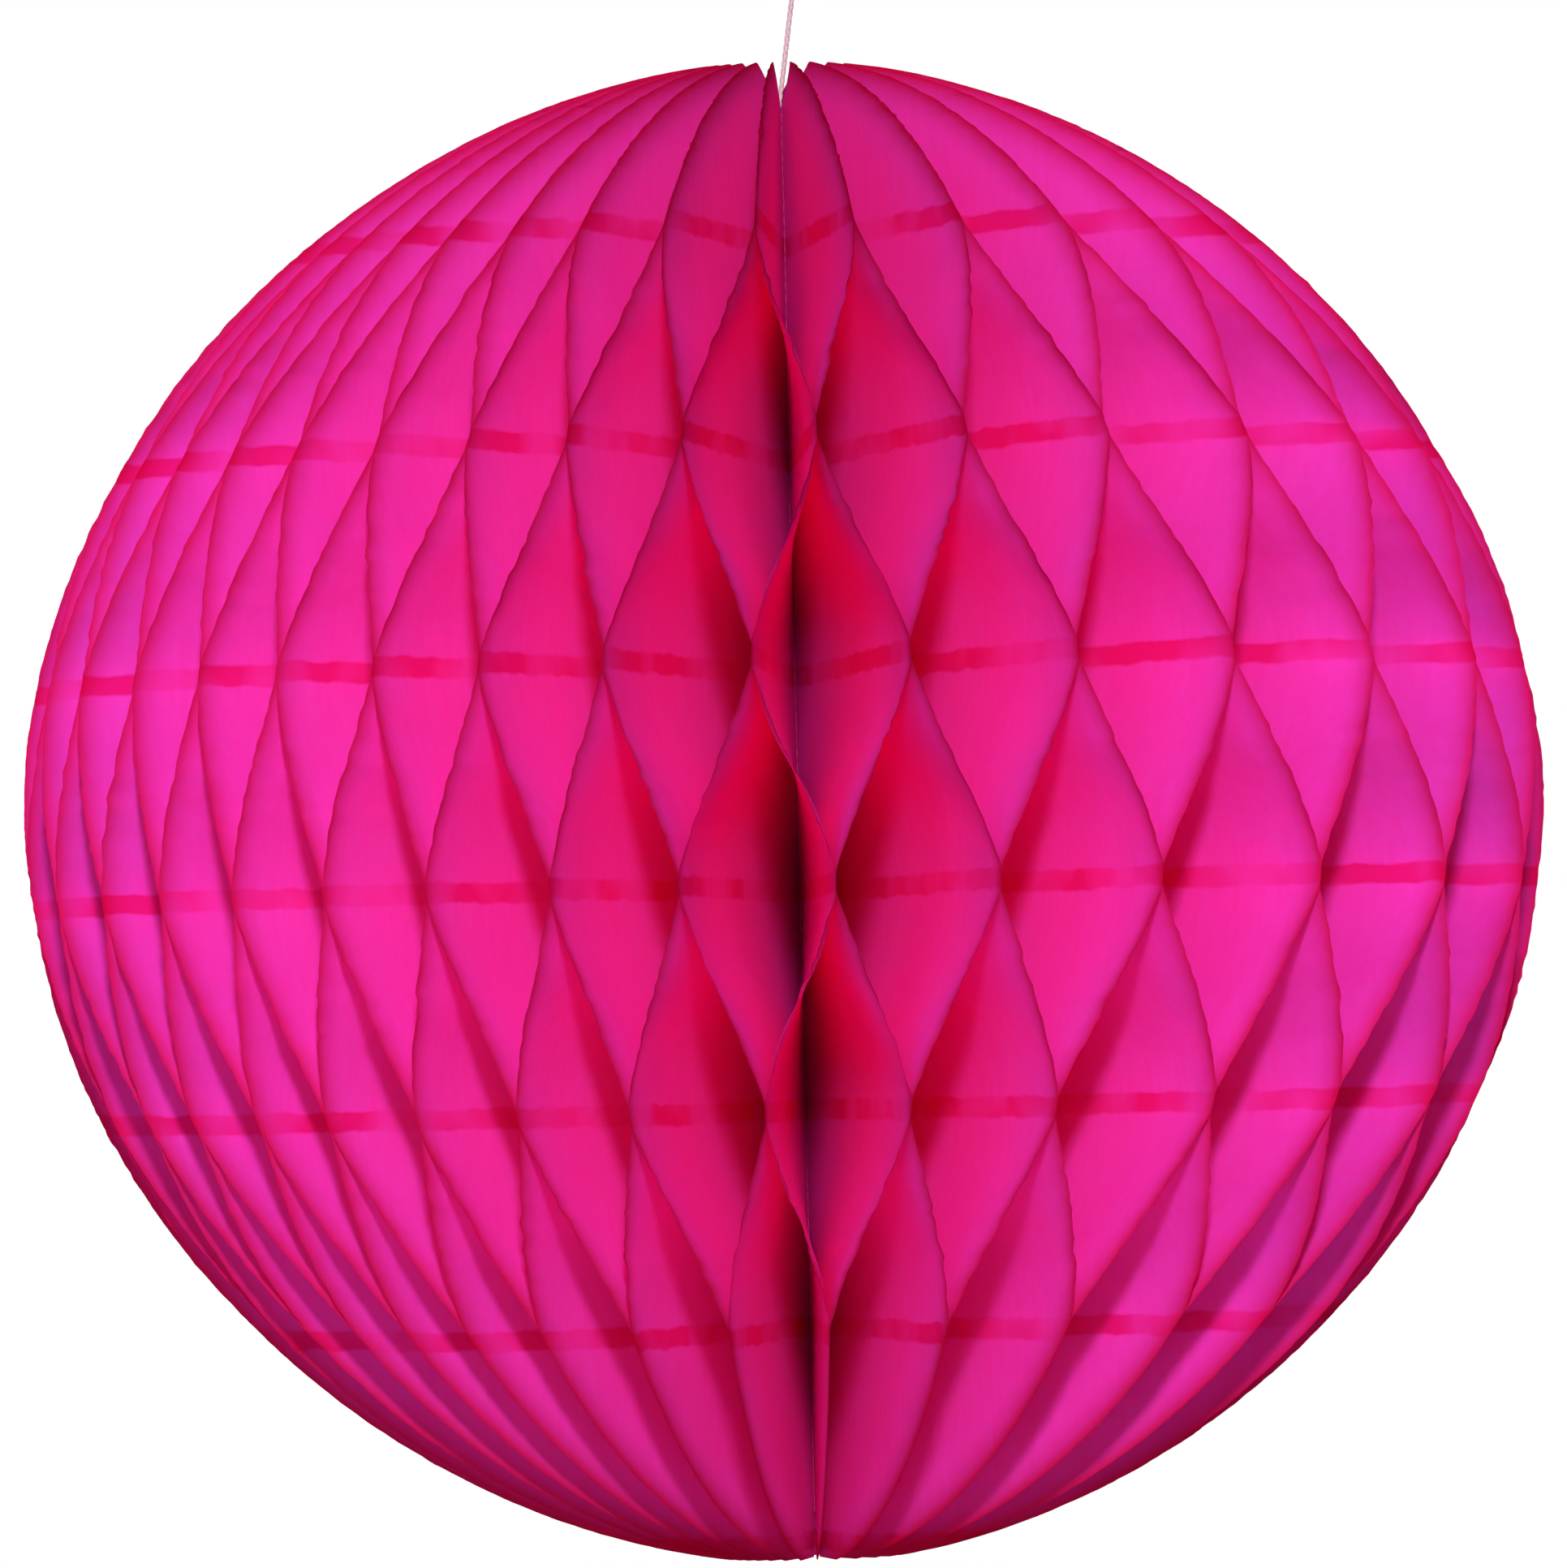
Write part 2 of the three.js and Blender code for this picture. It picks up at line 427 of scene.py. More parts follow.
class Finish:
    """A material with one Principled shader, ready for its colours."""

    def __init__(self, name: str) -> None:
        """Starts the material.

        Args:
            name: The material's name.
        """
        self.material = bpy.data.materials.new(name)
        self.material.use_nodes = True
        self.graph = Graph(self.material.node_tree)
        self.graph.tree.nodes.clear()
        self.shader = self.graph.node("ShaderNodeBsdfPrincipled")
        self.output = self.graph.node("ShaderNodeOutputMaterial")

    def bump(self, height: Field, depth: float, strength: float) -> Field:
        """Turns a height into a normal.

        Args:
            height: Height from 0 to 1.
            depth: Depth in metres that a height of 1 stands for.
            strength: How much of it shows.

        Returns:
            The bent normal.
        """
        inputs = {"Height": height, "Distance": depth, "Strength": strength}
        return self.graph.call("ShaderNodeBump", inputs, "Normal")


@dataclass(frozen=True)
class TissueFinish:
    """Thin cerise tissue that lets light through, darker where it is glued, with painted shade that darkens
    each leaf towards its cut edge.
    """

    pale: Colour = srgb(252, 84, 250)
    deep: Colour = srgb(249, 50, 206)
    glued: Colour = srgb(244, 30, 156)
    # Painted shade: the colour that each leaf darkens to towards its cut edge.
    cut: Colour = srgb(220, 4, 54)
    lit_through: Colour = srgb(253, 4, 96)
    lit_through_glue: Colour = srgb(248, 3, 76)
    # Painted shade: the translucent colour that each leaf darkens to towards its cut edge.
    lit_through_edge_shade: Colour = srgb(216, 2, 34)
    # Width and falloff of the painted shade along the cut edge.
    edge_shade_zone: float = 6.0 * MM
    edge_shade_falloff: float = 2.4
    through_share: float = 0.4
    roughness: float = 0.9
    gloss: float = 0.0
    cloud_scale: float = 45.0
    fibre_scale: float = 900.0
    fibre_share: float = 0.5
    ragged: float = 1.2 * MM
    ragged_scale: float = 200.0
    patch_scale: float = 70.0
    patch_contrast: float = 3.0
    patch_offset: float = 0.8
    patch_least: float = 0.25
    stain_width: float = 2.6 * MM
    stain_softness: float = 0.4 * MM

    def glue_mask(self, graph: Graph, ball: "BallShape") -> Field:
        """Level bands with ragged edges, stronger in some places than in others.

        Args:
            graph: The material's tree.
            ball: Sizes of the ball.

        Returns:
            A mask from 0 to 1.
        """
        coordinates = graph.node("ShaderNodeTexCoord").outputs["Object"]
        place = Field(graph, coordinates)
        height = graph.call("ShaderNodeSeparateXYZ", {"Vector": coordinates}, "Z")
        wander = (graph.noise(place, self.ragged_scale) - NOISE_MIDDLE) * self.ragged
        line = (height + wander - (ball.centre.z + ball.glue_height)) / ball.glue_pitch
        off_line = (line - line.round()).abs() * ball.glue_pitch
        band = ((self.stain_width / 2 - off_line) / self.stain_softness + 0.5).clamp(0.0, 1.0)
        patch = graph.noise(place, self.patch_scale) * self.patch_contrast - self.patch_offset
        return band * patch.clamp(self.patch_least, 1.0)

    def edge_shade_mask(self, graph: Graph, ball: "BallShape") -> Field:
        """Painted shade that darkens every leaf towards its cut edge.

        Args:
            graph: The material's tree.
            ball: Sizes of the ball.

        Returns:
            A mask from 0 to 1.
        """
        coordinates = graph.node("ShaderNodeTexCoord").outputs["Object"]
        across = graph.call("ShaderNodeSeparateXYZ", {"Vector": coordinates}, "X") - ball.centre.x
        along = graph.call("ShaderNodeSeparateXYZ", {"Vector": coordinates}, "Y") - ball.centre.y
        height = graph.call("ShaderNodeSeparateXYZ", {"Vector": coordinates}, "Z") - ball.centre.z
        radius = (across * across + along * along) ** 0.5
        leant = ball.half_width - across / radius * ball.outline_lean
        level = (radius / leant) ** ball.outline_power
        upright = (height.abs() / ball.half_height) ** ball.outline_power
        inwards = (1.0 - (level + upright) ** (1 / ball.outline_power)) * ball.half_width
        return (1.0 - inwards / self.edge_shade_zone).clamp(0.0, 1.0) ** self.edge_shade_falloff

    def material(self, ball: "BallShape", fibres: FibreGroup) -> bpy.types.Material:
        """Builds the material.

        Args:
            ball: Sizes of the ball.
            fibres: The shared fibre group.

        Returns:
            The tissue material.
        """
        finish = Finish("cerise_tissue")
        graph = finish.graph
        cloud, fibre = fibres.place(graph, self.cloud_scale, self.fibre_scale)
        glue = self.glue_mask(graph, ball)
        streaks = cloud + (fibre - cloud) * self.fibre_share
        mottled = graph.mix_colour(self.deep, self.pale, streaks)
        # Painted shade: the reflected and the translucent colour both darken towards each leaf's cut edge.
        cut = self.edge_shade_mask(graph, ball)
        front = graph.mix_colour(graph.mix_colour(mottled, self.glued, glue), self.cut, cut)
        behind = graph.mix_colour(self.lit_through, self.lit_through_glue, glue)
        behind = graph.mix_colour(behind, self.lit_through_edge_shade, cut)
        graph.feed(finish.shader.inputs["Base Color"], front)
        graph.feed(finish.shader.inputs["Roughness"], self.roughness)
        graph.feed(finish.shader.inputs["Specular IOR Level"], self.gloss)
        through = graph.node("ShaderNodeBsdfTranslucent")
        graph.feed(through.inputs["Color"], behind)
        both = graph.node("ShaderNodeMixShader")
        graph.feed(both.inputs[0], self.through_share)
        graph.feed(both.inputs[1], finish.shader.outputs["BSDF"])
        graph.feed(both.inputs[2], through.outputs["BSDF"])
        graph.feed(finish.output.inputs["Surface"], both.outputs[0])
        return finish.material


@dataclass(frozen=True)
class FibreFinish:
    """A dull finish with clouds and fibres, for card, tape and thread."""

    name: str
    pale: Colour
    deep: Colour
    roughness: float
    cloud_scale: float
    fibre_scale: float
    fibre_depth: float
    fibre_strength: float = 0.5
    cloud_share: float = 0.6

    def material(self, fibres: FibreGroup) -> bpy.types.Material:
        """Builds the material.

        Args:
            fibres: The shared fibre group.

        Returns:
            The material.
        """
        finish = Finish(self.name)
        graph = finish.graph
        cloud, fibre = fibres.place(graph, self.cloud_scale, self.fibre_scale)
        shade = (cloud * self.cloud_share + fibre * (1 - self.cloud_share)).clamp(0.0, 1.0)
        graph.feed(finish.shader.inputs["Base Color"], graph.mix_colour(self.deep, self.pale, shade))
        graph.feed(finish.shader.inputs["Roughness"], self.roughness)
        normal = finish.bump(fibre, self.fibre_depth, self.fibre_strength)
        graph.feed(finish.shader.inputs["Normal"], normal)
        graph.feed(finish.output.inputs["Surface"], finish.shader.outputs["BSDF"])
        return finish.material


CARD = FibreFinish("cerise_card", srgb(214, 34, 128), srgb(190, 22, 108), 0.75, 60.0, 700.0, 0.08 * MM)
TAPE = FibreFinish("cream_tape", srgb(236, 230, 214), srgb(222, 212, 190), 0.45, 90.0, 900.0, 0.03 * MM)
SPINE = FibreFinish("cerise_thread", srgb(206, 34, 120), srgb(170, 18, 92), 0.9, 400.0, 4000.0, 0.05 * MM)
THREAD = FibreFinish("pink_thread", srgb(232, 200, 210), srgb(206, 160, 174), 0.9, 400.0, 4000.0, 0.05 * MM)


@dataclass(frozen=True)
class BallShape:
    """Sizes of the opened ball, and where its leaves stand."""

    centre: Vector
    half_width: float = 101.5 * MM
    half_height: float = 100 * MM
    outline_power: float = 1.9
    outline_lean: float = 1.6 * MM
    dimple_radius: float = 12 * MM
    dimple_depth: float = 6 * MM
    tip_inset: float = 0.1 * MM
    leaf_count: int = 53
    glue_pitch: float = 28.6 * MM
    glue_height: float = 17.7 * MM
    glue_width: float = 3 * MM
    seam_azimuth: float = math.radians(148.9)
    fan_bunching: float = 0.372
    fan_phase: float = math.radians(9.5)
    inner_radius: float = 1.5 * MM
    off_card: float = 0.925 * MM

    @property
    def rim_height(self) -> float:
        """Height of the dimple's rim above the middle."""
        share = (self.dimple_radius / self.half_width) ** self.outline_power
        return self.half_height * (1 - share) ** (1 / self.outline_power)

    @property
    def spine_half(self) -> float:
        """Half the length of the spine."""
        return self.rim_height - self.dimple_depth

    @property
    def tip_turn(self) -> float:
        """Angle of a leaf's tip along its curved edge, from the middle."""
        share = (self.rim_height - self.tip_inset) / self.half_height
        return math.asin(share ** (self.outline_power / 2))

    @property
    def top_line(self) -> int:
        """Number of the highest glue line."""
        reach = self.spine_half - self.glue_width / 2
        return math.floor((reach - self.glue_height) / self.glue_pitch)

    @property
    def bottom_line(self) -> int:
        """Number of the lowest glue line."""
        reach = self.spine_half - self.glue_width / 2
        return math.ceil((-reach - self.glue_height) / self.glue_pitch)

    def fan_azimuth(self, number: int) -> float:
        """Middle azimuth of a leaf at the outline.

        Args:
            number: The leaf's number. The end cards are 0 and one past the last leaf.

        Returns:
            The azimuth.
        """
        turn = TURN * number / (self.leaf_count + 1)
        bunched = math.sin(turn + self.fan_phase) - math.sin(self.fan_phase)
        return self.seam_azimuth + turn + self.fan_bunching * bunched

    def spine_azimuth(self, number: int) -> float:
        """Azimuth of a leaf's straight inner edge.

        Args:
            number: The leaf's number.

        Returns:
            The azimuth.
        """
        card_angle = math.asin(self.off_card / self.inner_radius)
        share = (number - 1) / (self.leaf_count - 1)
        return self.seam_azimuth + card_angle + (TURN - 2 * card_angle) * share


@dataclass
class TissueFan:
    """The tissue leaves."""

    ball: BallShape
    finish: TissueFinish
    thickness: float = 0.05 * MM
    contact_gap: float = 0.03 * MM
    nick_pitch: float = 2.2 * MM
    nick_depth: float = 0.9 * MM
    ruffle: float = 1.6 * MM
    bow: float = 0.9 * MM
    bottom_filling: float = 0.8
    play: float = math.radians(0.45)
    middle_softness: float = 0.75
    edge_softness: float = 0.1
    edge_tightness: float = 20.0
    edge_crowding: float = 2.2
    rows: int = 261
    columns: int = 13
    seed: int = 7
    sharp_angle: float = math.radians(50)
    flat: tuple[float, float] = (101.5 * MM, 203 * MM)

    def leaf_tree(self) -> ShapeTree:
        """Builds the tree that shapes one leaf.

        Returns:
            The tree.
        """
        tree = ShapeTree("Tissue leaf", reads_mesh=False)
        number = tree.value("Number")
        fan = LeafFan(tree, number)
        edge = LeafEdge(tree, number)
        line_pitch = tree.value("Glue Pitch")
        line_height = tree.value("Glue Height")
        line_width = tree.value("Glue Width")
        top_line = tree.value("Top Line")
        bottom_line = tree.value("Bottom Line")
        middle_softness = tree.value("Middle Softness")
        slack = tree.value("Edge Softness") - middle_softness
        softness = middle_softness + slack * edge.reach ** tree.value("Edge Tightness")
        lower = ((edge.height - line_height) / line_pitch).floor()
        below = lower.clamp(bottom_line, top_line)
        above = (lower + 1.0).clamp(bottom_line, top_line)
        start = line_height + below * line_pitch + line_width / 2.0
        share = ((edge.height - start) / (line_pitch - line_width)).clamp(0.0, 1.0)
        eased = share - softness * (share * TURN).sin() / TURN
        low_contact = fan.contact(below, edge.radius)
        azimuth = low_contact + (fan.contact(above, edge.radius) - low_contact) * eased
        outer = tree.polar(edge.radius, azimuth, edge.height)
        spine = tree.polar(edge.inner_radius, tree.value("Spine Azimuth"), edge.height)
        ruling = tree.vector("SUBTRACT", outer, spine)
        resting = tree.vector("ADD", spine, tree.scaled(ruling, edge.reach))
        across = tree.vector("NORMALIZE", tree.vector("CROSS_PRODUCT", (0.0, 0.0, 1.0), ruling))
        free = (share * math.pi).sin()
        lifted = tree.scaled(across, edge.sway(resting) * free)
        centred = tree.vector("ADD", lifted, tree.value("Centre", "NodeSocketVector"))
        inputs = {"Geometry": edge.grid, "Position": resting, "Offset": centred}
        tree.end(tree.call("GeometryNodeSetPosition", inputs, "Geometry"))
        return tree

    def leaf_values(self, number: int, material: bpy.types.Material) -> dict[str, object]:
        """Inputs of one leaf.

        Args:
            number: The leaf's number.
            material: The tissue material.

        Returns:
            Values by input name.
        """
        ball = self.ball
        beside = (self.contact_gap + self.thickness) / 2
        own = ball.fan_azimuth(number)
        after = (own + ball.fan_azimuth(number + 1)) / 2
        before = (own + ball.fan_azimuth(number - 1)) / 2
        first = number == 1
        last = number == ball.leaf_count
        return {
            "Number": float(number),
            "Next Azimuth": ball.seam_azimuth + TURN if last else after,
            "Next Offset": -ball.off_card if last else -beside,
            "Next Play": 0.0 if last else self.play,
            "Previous Azimuth": ball.seam_azimuth if first else before,
            "Previous Offset": ball.off_card if first else beside,
            "Previous Play": 0.0 if first else self.play,
            "Seed": self.seed,
            "Rows": self.rows,
            "Columns": self.columns,
            "Tip Turn": ball.tip_turn,
            "Half Width": ball.half_width,
            "Half Height": ball.half_height,
            "Outline Power": ball.outline_power,
            "Lean": 1 - ball.outline_lean / ball.half_width * math.sin(own),
            "Inner Radius": ball.inner_radius,
            "Spine Half": ball.spine_half,
            "Dimple Slope": ball.dimple_radius / ball.dimple_depth,
            "Bottom Filling": self.bottom_filling,
            "Nick Pitch": self.nick_pitch,
            "Nick Depth": self.nick_depth,
            "Edge Crowding": self.edge_crowding,
            "Ruffle": self.ruffle,
            "Bow": self.bow,
            "Glue Pitch": ball.glue_pitch,
            "Glue Height": ball.glue_height,
            "Glue Width": ball.glue_width,
            "Top Line": float(ball.top_line),
            "Bottom Line": float(ball.bottom_line),
            "Middle Softness": self.middle_softness,
            "Edge Softness": self.edge_softness,
            "Edge Tightness": self.edge_tightness,
            "Spine Azimuth": ball.spine_azimuth(number),
            "Centre": ball.centre,
            "Material": material,
        }

    def build(self, fibres: FibreGroup) -> None:
        """Makes every leaf.

        Args:
            fibres: The shared fibre group.
        """
        material = self.finish.material(self.ball, fibres)
        tree = self.leaf_tree()
        leaves = []
        for number in range(1, self.ball.leaf_count + 1):
            base = bpy.data.meshes.new("leaf")
            leaf = tree.piece(f"leaf_{number:02d}", base, self.leaf_values(number, material))
            leaves.append(leaf)
        settle(leaves, self.sharp_angle)
        for number, leaf in enumerate(leaves, start=1):
            attach(leaf, Slot.TISSUE, f"tissue_leaf_{number:02d}")


class LeafFan:
    """Where a leaf touches its two neighbours."""

    SPOTS_A_PAIR = 32.0
    LOWEST_SPOT = 16.0

    def __init__(self, tree: ShapeTree, number: Field) -> None:
        """Adds the fan's inputs to a leaf's tree.

        Args:
            tree: The leaf's tree.
            number: The leaf's number.
        """
        self.tree = tree
        self.number = number
        self.next_azimuth = tree.value("Next Azimuth")
        self.next_offset = tree.value("Next Offset")
        self.next_play = tree.value("Next Play")
        self.previous_azimuth = tree.value("Previous Azimuth")
        self.previous_offset = tree.value("Previous Offset")
        self.previous_play = tree.value("Previous Play")
        self.seed = tree.value("Seed", "NodeSocketInt")

    def shift(self, pair: Field, line: Field) -> Field:
        """Random shift of a glued spot, the same for both leaves that meet there.

        Args:
            pair: Number of the lower leaf of the pair.
            line: Number of the glue line.

        Returns:
            A value from -1 to 1.
        """
        spot = pair * self.SPOTS_A_PAIR + line + self.LOWEST_SPOT
        inputs = {"Min": -1.0, "Max": 1.0, "ID": spot, "Seed": self.seed}
        return self.tree.call("FunctionNodeRandomValue", inputs, "Value", data_type="FLOAT")

    def contact(self, line: Field, radius: Field) -> Field:
        """Azimuth of the leaf along a glue line.

        Args:
            line: Number of the glue line.
            radius: Radius of the leaf's edge there.

        Returns:
            The azimuth.
        """
        after = self.next_azimuth + self.next_offset / radius
        after = after + self.shift(self.number, line) * self.next_play
        before = self.previous_azimuth + self.previous_offset / radius
        before = before + self.shift(self.number - 1.0, line) * self.previous_play
        odd = (self.number + line).modulo(2.0)
        return after + (before - after) * odd


class LeafEdge:
    """The grid of a leaf, its curved and nicked outer edge and its straight inner edge."""

    LEAF_STEP = 7.3
    SLACK_SCALE = 30.0
    FRILL_TIGHTNESS = 10.0

    def __init__(self, tree: ShapeTree, number: Field) -> None:
        """Adds the outline's inputs to a leaf's tree.

        Args:
            tree: The leaf's tree.
            number: The leaf's number, which sets the random pattern.
        """
        self.tree = tree
        self.number = number
        rows = tree.value("Rows", "NodeSocketInt")
        columns = tree.value("Columns", "NodeSocketInt")
        sizes = {"Size X": 1.0, "Size Y": 1.0, "Vertices X": columns, "Vertices Y": rows}
        self.grid = tree.call("GeometryNodeMeshGrid", sizes, "Mesh")
        uv_map = self.grid.socket.node.outputs["UV Map"]
        outwards = tree.call("ShaderNodeSeparateXYZ", {"Vector": uv_map}, "X")
        upwards = tree.call("ShaderNodeSeparateXYZ", {"Vector": uv_map}, "Y")
        turn = (upwards * 2.0 - 1.0) * tree.value("Tip Turn")
        half_width = tree.value("Half Width")
        half_height = tree.value("Half Height")
        bend = 2.0 / tree.value("Outline Power")
        rise = turn.sin()
        self.height = half_height * rise.sign() * rise.abs() ** bend
        outline = half_width * turn.cos() ** bend * tree.value("Lean")
        self.along = turn * half_width / tree.value("Nick Pitch")
        nick = tree.noise(self.spot(self.along), 1.0)
        self.radius = outline - tree.value("Nick Depth") * nick
        self.inner_radius = tree.value("Inner Radius")
        past_spine = (self.height.abs() - tree.value("Spine Half")).clamp(0.0, 1.0)
        filled = tree.value("Bottom Filling") * (0.5 - rise.sign() * 0.5)
        slope = tree.value("Dimple Slope") * (1.0 - filled)
        cut = (past_spine * slope).clamp(self.inner_radius, 1.0)
        start = (cut - self.inner_radius) / (self.radius - self.inner_radius)
        crowded = 1.0 - (1.0 - outwards) ** tree.value("Edge Crowding")
        self.reach = start + (1.0 - start) * crowded
        self.ruffle = tree.value("Ruffle")
        self.bow = tree.value("Bow")

    def spot(self, along: Field) -> Field:
        """Where a leaf reads the noise of its edge."""
        inputs = {"X": along, "Y": self.number * self.LEAF_STEP}
        return self.tree.call("ShaderNodeCombineXYZ", inputs, "Vector")

    def sway(self, place: Field) -> Field:
        """How far the free tissue bows and ruffles to one side.

        Args:
            place: The point on the flat leaf.

        Returns:
            The distance.
        """
        apart = self.tree.vector("ADD", place, self.spot(self.number))
        slack = (self.tree.noise(apart, self.SLACK_SCALE, detail=1.0) - NOISE_MIDDLE) * self.bow
        mirrored = self.spot(self.along * -1.0)
        frill = (self.tree.noise(mirrored, 1.0) - NOISE_MIDDLE) * self.ruffle
        return slack * self.reach + frill * self.reach ** self.FRILL_TIGHTNESS


@dataclass
class ThreadWork:
    """Twisted thread: the spine's winding, the hanging thread with its loop, and the knot."""

    ball: BallShape
    spine_radius: float = 1.25 * MM
    spine_twist: float = 5.2 * MM
    thread_radius: float = 0.35 * MM
    thread_twist: float = 2.2 * MM
    knot_radius: float = 0.9 * MM
    knot_strand: float = 0.3 * MM
    knot_squeeze: float = 0.5
    knot_steps: int = 60
    spine_plies: float = 3.0
    spine_step: float = 0.5 * MM
    thread_plies: float = 2.0
    thread_step: float = 0.15 * MM
    sides: int = 18
    groove: float = 0.3
    sharp_angle: float = math.radians(60)
    knot_place: tuple[float, float, float] = (2.55 * MM, 0.0, 18.2 * MM)
    thread_route: tuple[tuple[float, float], ...] = (
        (0.0, 0.2),
        (0.28, 2.2),
        (0.64, 4.7),
        (1.0, 7.2),
        (1.35, 9.7),
        (1.7, 12.2),
        (2.06, 14.7),
        (2.3, 16.4),
    )
    loop_route: tuple[tuple[float, float], ...] = (
        (-1.17, 1.3),
        (-1.75, 3.0),
        (-2.6, 5.5),
        (-3.2, 8.0),
        (-3.3, 10.5),
        (-2.7, 12.8),
        (-1.5, 14.4),
        (0.0, 15.0),
        (1.5, 14.4),
        (2.7, 12.8),
        (3.3, 10.5),
        (3.2, 8.0),
        (2.6, 5.5),
        (1.75, 3.0),
        (1.17, 1.3),
    )

    def thread_tree(self) -> ShapeTree:
        """Builds the tree that spins a twisted thread along a row of edges.

        Returns:
            The tree.
        """
        tree = ShapeTree("Twisted thread", reads_mesh=True)
        base = Field(tree, tree.entry.outputs["Base"])
        line = tree.call("GeometryNodeMeshToCurve", {"Mesh": base}, "Curve")
        smooth = tree.call("GeometryNodeCurveSplineType", {"Curve": line}, "Curve", spline_type="CATMULL_ROM")
        spaced = {"Curve": smooth, "Length": tree.value("Step")}
        fine = tree.call("GeometryNodeResampleCurve", spaced, "Curve", mode="LENGTH")
        length = tree.call("GeometryNodeSplineParameter", {}, "Length")
        twist = length * TURN / tree.value("Twist Length")
        turned = tree.call("GeometryNodeSetCurveTilt", {"Curve": fine, "Tilt": twist}, "Curve")
        section = {"Resolution": tree.value("Sides", "NodeSocketInt"), "Radius": tree.value("Radius")}
        ring = tree.call("GeometryNodeCurvePrimitiveCircle", section, "Curve")
        round_ring = tree.call("GeometryNodeSplineParameter", {}, "Factor")
        lobe = (round_ring * math.pi * tree.value("Plies")).sin().abs()
        groove = 1.0 - tree.value("Groove") * (1.0 - lobe)
        spot = tree.call("GeometryNodeInputPosition", {}, "Position")
        pressed = {"Geometry": ring, "Position": tree.scaled(spot, groove)}
        lobed = tree.call("GeometryNodeSetPosition", pressed, "Geometry")
        inputs = {"Curve": turned, "Profile Curve": lobed, "Fill Caps": True}
        tree.end(tree.call("GeometryNodeCurveToMesh", inputs, "Mesh"))
        return tree

    def strand(
        self, tree: ShapeTree, name: str, points: list[Vector], values: dict[str, object]
    ) -> bpy.types.Object:
        """Spins one thread.

        Args:
            tree: The thread's tree.
            name: The piece's name.
            points: The points that it follows.
            values: Inputs of the tree by name.

        Returns:
            The piece, with its modifier still live.
        """
        base = bpy.data.meshes.new(name)
        base.from_pydata(points, [(i, i + 1) for i in range(len(points) - 1)], [])
        return tree.piece(name, base, values)

    def routes(self) -> tuple[list[Vector], list[Vector], list[Vector]]:
        """Points of the spine, of the hanging thread with its loop, and of the knot.

        Returns:
            The three rows of points.
        """
        middle = self.ball.centre
        half = self.ball.spine_half
        spine = [middle + Vector((0.0, 0.0, half * share)) for share in (-1.0, -0.5, 0.0, 0.5, 1.0)]
        top = middle + Vector((0.0, 0.0, half))
        knot_middle = top + Vector(self.knot_place)
        thread = [top + Vector((x * MM, 0.0, z * MM)) for x, z in self.thread_route]
        thread.append(knot_middle)
        thread += [knot_middle + Vector((x * MM, 0.0, z * MM)) for x, z in self.loop_route]
        knot = []
        for step in range(self.knot_steps):
            turn = TURN * step / self.knot_steps
            reach = self.knot_radius * (2 + math.cos(3 * turn)) * self.knot_squeeze
            depth = self.knot_radius * math.sin(3 * turn) * self.knot_squeeze
            spot = Vector((reach * math.sin(2 * turn), depth, -reach * math.cos(2 * turn)))
            knot.append(knot_middle + spot)
        return spine, thread, knot

    def build(self, fibres: FibreGroup) -> None:
        """Makes the spine, the thread and the knot.

        Args:
            fibres: The shared fibre group.
        """
        tree = self.thread_tree()
        spine_points, thread_points, knot_points = self.routes()
        thread_values = {
            "Material": THREAD.material(fibres),
            "Sides": self.sides,
            "Groove": self.groove,
            "Radius": self.thread_radius,
            "Twist Length": self.thread_twist,
            "Plies": self.thread_plies,
            "Step": self.thread_step,
        }
        knot_values = thread_values | {"Radius": self.knot_strand}
        spine_values = thread_values | {
            "Material": SPINE.material(fibres),
            "Radius": self.spine_radius,
            "Twist Length": self.spine_twist,
            "Plies": self.spine_plies,
            "Step": self.spine_step,
        }
        spine = self.strand(tree, "spine_winding", spine_points, spine_values)
        thread = self.strand(tree, "thread_and_loop", thread_points, thread_values)
        knot = self.strand(tree, "loop_knot", knot_points + knot_points[:1], knot_values)
        settle([spine, thread, knot], self.sharp_angle)
        attach(spine, Slot.THREAD, "spine_stitching")
        attach(knot, Slot.THREAD, "thread_knot")
        attach(thread, Slot.THREAD, "hanging_thread", "hanging_loop")
        length = sum((b - a).length for a, b in zip(thread_points, thread_points[1:]))


@dataclass
class Seam:
    """The two end cards back to back and the tape between them."""

    cards: tuple[str, str] = ("end_card_first", "end_card_last")
    tape: str = "closing_tape"

    def build(self, fibres: FibreGroup) -> None:
        """Dresses the cards and the tape.

        Args:
            fibres: The shared fibre group.
        """
        card = CARD.material(fibres)
        for name in self.cards:
            self.dress(name, card)
        self.dress(self.tape, TAPE.material(fibres))

    def dress(self, name: str, material: bpy.types.Material) -> None:
        """Gives a CAD node its finish.

        Args:
            name: The node's name.
            material: Its finish.
        """
        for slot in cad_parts[name].material_slots:
            slot.material = material
        log.info("%s: dressed", name)


def towards(azimuth: float, elevation: float) -> Vector:
    """Direction from the ball's centre.

    Args:
        azimuth: Angle from the front towards +X.
        elevation: Angle above the level.

    Returns:
        A vector of length 1.
    """
    level = math.cos(elevation)
    return Vector((level * math.sin(azimuth), -level * math.cos(azimuth), math.sin(elevation)))


